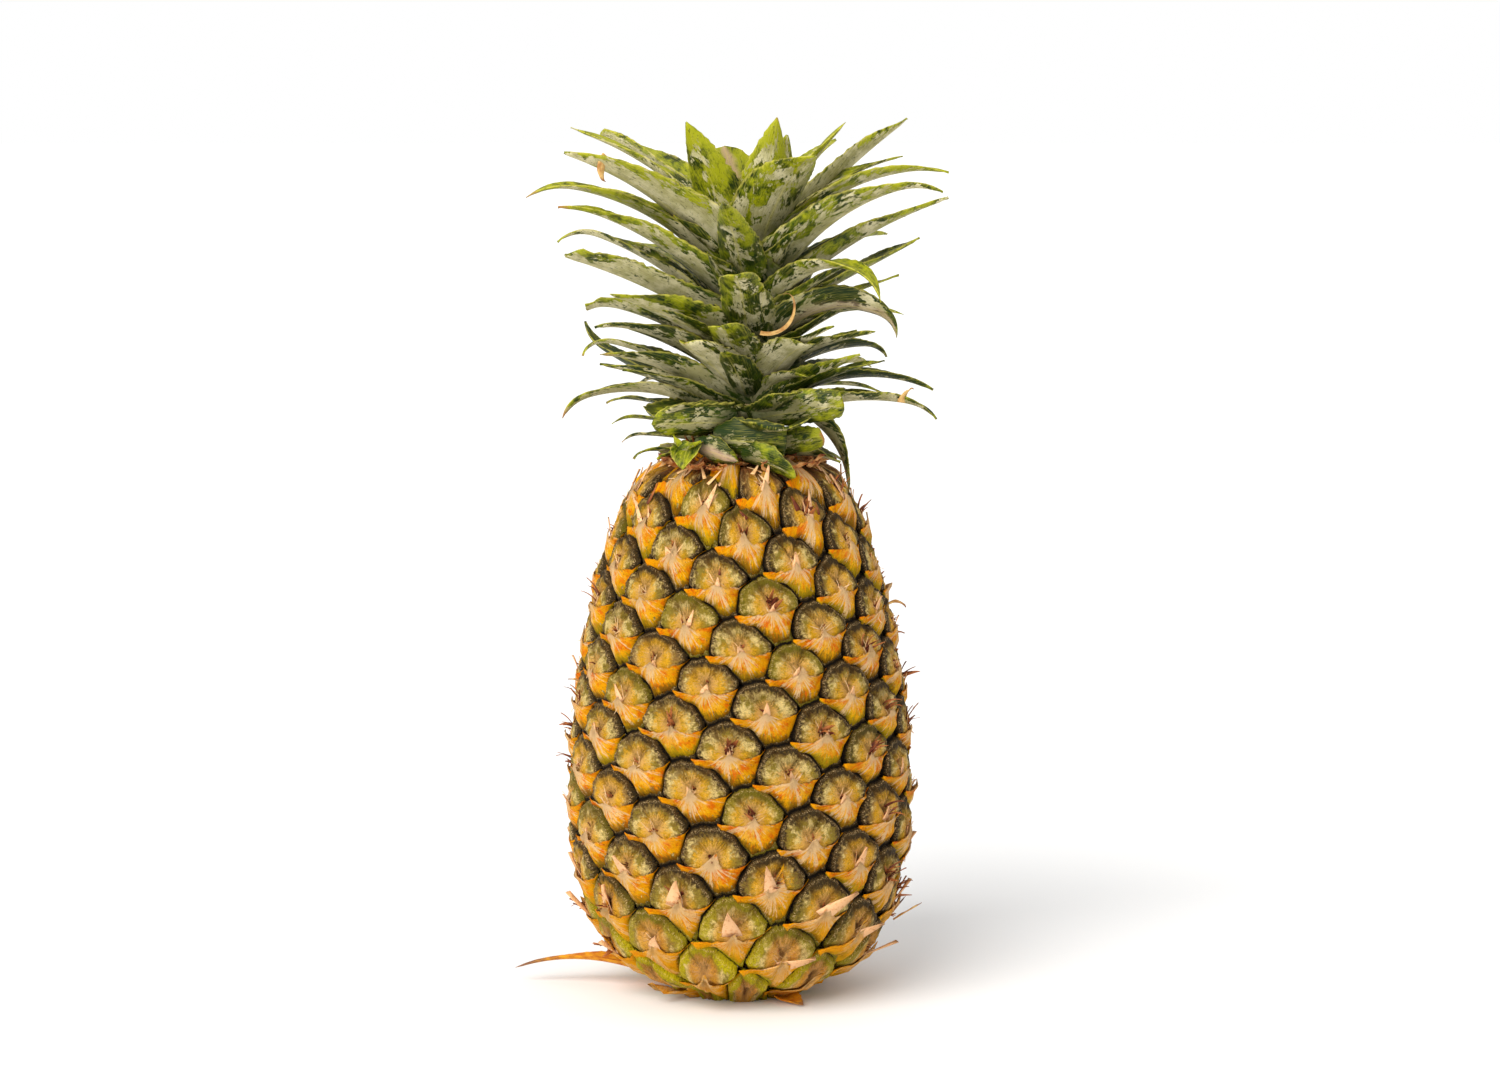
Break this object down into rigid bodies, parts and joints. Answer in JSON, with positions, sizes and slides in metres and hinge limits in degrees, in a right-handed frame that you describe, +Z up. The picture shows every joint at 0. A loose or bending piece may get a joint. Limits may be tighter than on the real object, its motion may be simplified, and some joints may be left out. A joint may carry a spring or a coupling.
{
  "type": "pineapple",
  "caption": "Whole ripe pineapple with its leafy crown, standing upright on its cut base, its skin covered in spiral rows of round-topped eyes.",
  "frame": {"origin": "middle of the flat base, on the surface the fruit stands on", "axes": "+Z up along the fruit, from the cut base to the crown; -Y is the front, as the fruit is usually looked at"},
  "size_m": [0.1563, 0.1452, 0.3132],
  "materials": {
    "rind": "matte",
    "leaf": "satin",
    "stem": "matte",
    "dry_bract": "matte"
  },
  "bodies": {
    "root": {"fruit": "rind", "stem_stub": "stem", "crown_stem": "stem", "base_leaf_left": "dry_bract", "base_bract_front": "dry_bract", "dry_bract_right": "dry_bract", "leaf_heart_01": "leaf", "leaf_heart_02": "leaf", "leaf_heart_03": "leaf", "leaf_heart_04": "leaf", "leaf_left_01": "leaf", "leaf_left_02": "leaf", "leaf_left_03": "leaf", "leaf_left_04": "leaf", "leaf_left_05": "leaf", "leaf_left_06": "leaf", "leaf_left_07": "leaf", "leaf_left_08": "leaf", "leaf_left_09": "leaf", "leaf_left_10": "leaf", "leaf_left_11": "leaf", "leaf_left_12": "leaf", "leaf_left_13": "leaf", "leaf_left_14": "leaf", "leaf_left_15": "leaf", "leaf_left_16": "leaf", "leaf_front_01": "leaf", "leaf_front_02": "leaf", "leaf_front_03": "leaf", "leaf_front_04": "leaf", "leaf_front_05": "leaf", "leaf_front_06": "leaf", "leaf_front_07": "leaf", "leaf_front_08": "leaf", "leaf_right_01": "leaf", "leaf_right_02": "leaf", "leaf_right_03": "leaf", "leaf_right_04": "leaf", "leaf_right_05": "leaf", "leaf_right_06": "leaf", "leaf_right_07": "leaf", "leaf_right_08": "leaf", "leaf_right_09": "leaf", "leaf_right_10": "leaf", "leaf_right_11": "leaf", "leaf_right_12": "leaf", "leaf_right_13": "leaf", "leaf_right_14": "leaf", "leaf_right_15": "leaf", "leaf_back_01": "leaf", "leaf_back_02": "leaf", "leaf_back_03": "leaf", "leaf_back_04": "leaf", "leaf_back_05": "leaf", "leaf_back_06": "leaf", "leaf_back_07": "leaf", "leaf_back_08": "leaf", "leaf_back_09": "leaf", "leaf_back_10": "leaf", "leaf_back_11": "leaf"}
  },
  "joints": []
}
